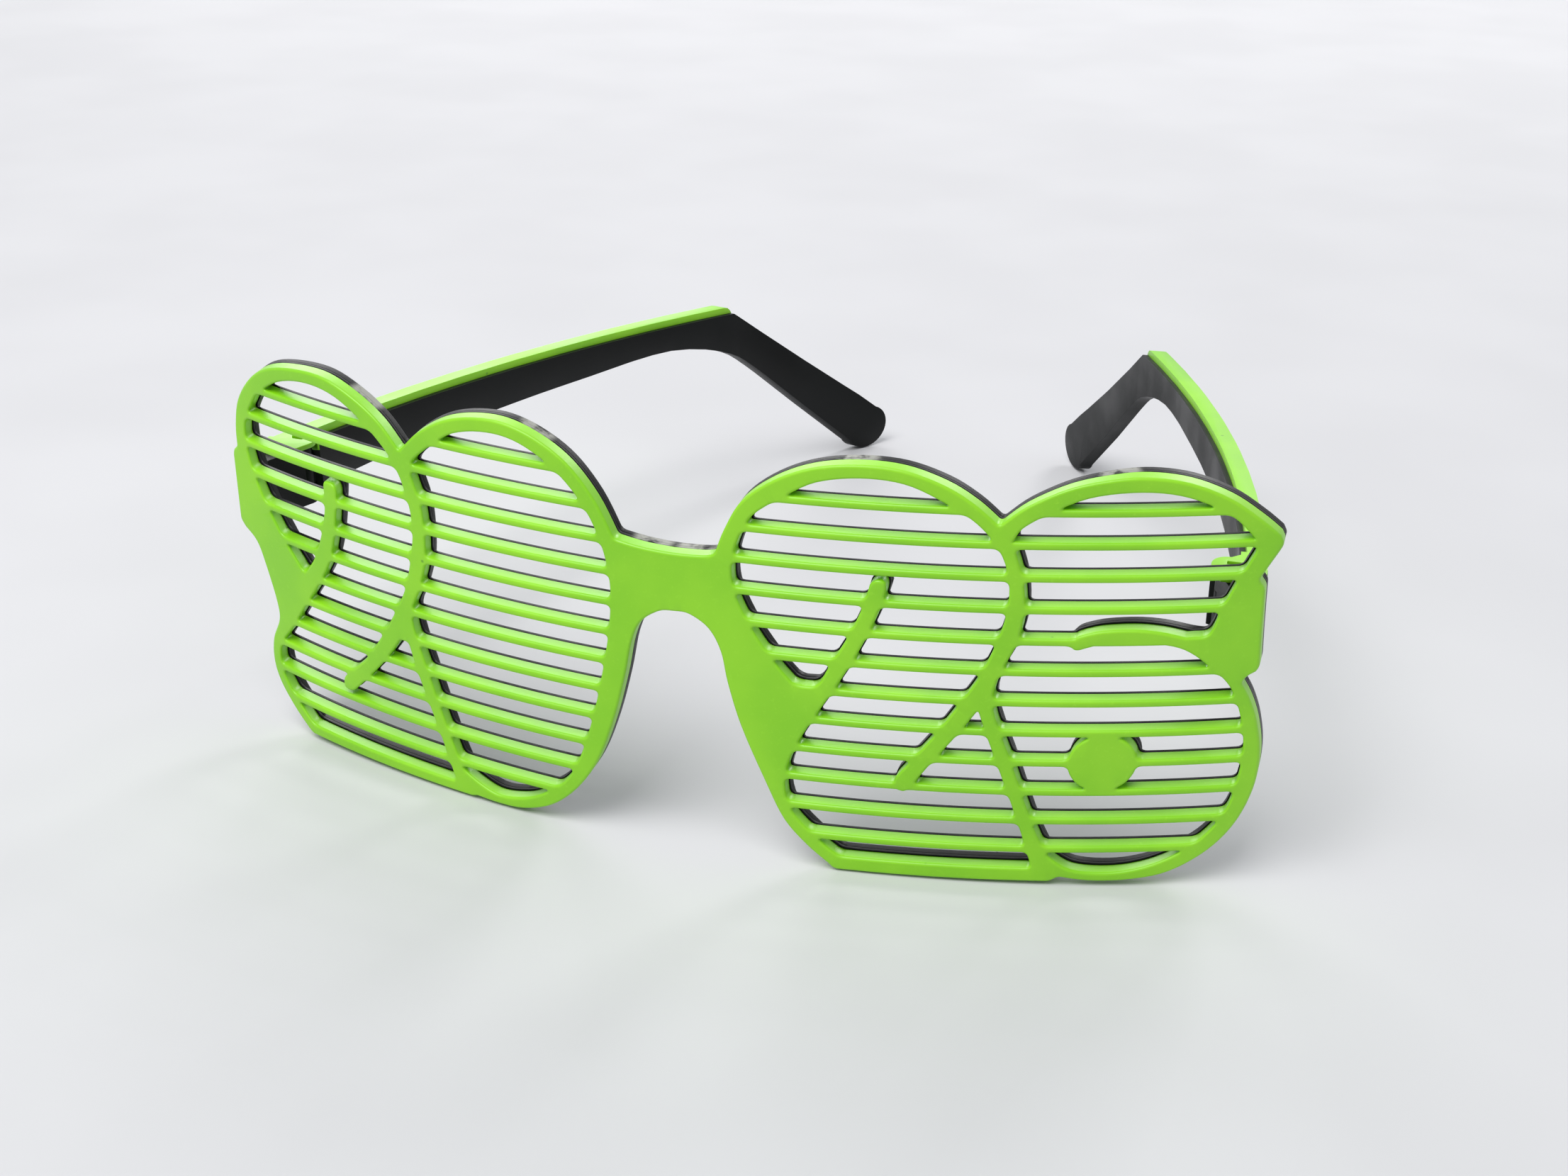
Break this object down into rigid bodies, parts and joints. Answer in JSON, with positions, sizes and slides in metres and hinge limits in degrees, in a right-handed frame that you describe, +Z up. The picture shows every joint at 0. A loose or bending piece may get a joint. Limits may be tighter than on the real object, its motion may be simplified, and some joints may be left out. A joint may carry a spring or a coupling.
{
  "type": "novelty shutter eyeglasses",
  "caption": "Wraparound party glasses with horizontal slats in place of lenses, a two-colour front shaped as plain year digits, and two folding bowed arms.",
  "frame": {"origin": "on the table, under the middle of the box around the glasses as they stand open", "axes": "+X to the right as seen by someone looking at the front, +Y from the front back along the arms, +Z up from the table"},
  "size_m": [0.1372, 0.1536, 0.0566],
  "materials": {
    "green_plastic": "fluorescent green, satin faces with glossy edges",
    "black_plastic": "black, satin",
    "pin_steel": "plain steel"
  },
  "bodies": {
    "front": {"front_green_layer": "green_plastic", "front_black_layer": "black_plastic", "left_hinge_block": "black_plastic", "left_hinge_cap": "green_plastic", "left_hinge_pin": "pin_steel", "right_hinge_block": "black_plastic", "right_hinge_cap": "green_plastic", "right_hinge_pin": "pin_steel"},
    "left_arm": {"left_arm_core": "black_plastic", "left_arm_cover": "green_plastic"},
    "right_arm": {"right_arm_core": "black_plastic", "right_arm_cover": "green_plastic"}
  },
  "joints": [
    {"name": "left_arm_fold", "type": "hinge", "parent": "front", "child": "left_arm", "pos_m": [-0.06371, -0.0524, 0.03495], "axis": [0, 0.0605, -0.9982], "range_deg": [-4.2, 72]},
    {"name": "right_arm_fold", "type": "hinge", "parent": "front", "child": "right_arm", "pos_m": [0.06189, -0.0524, 0.03495], "axis": [0, -0.0605, 0.9982], "range_deg": [-0.8, 68]}
  ]
}
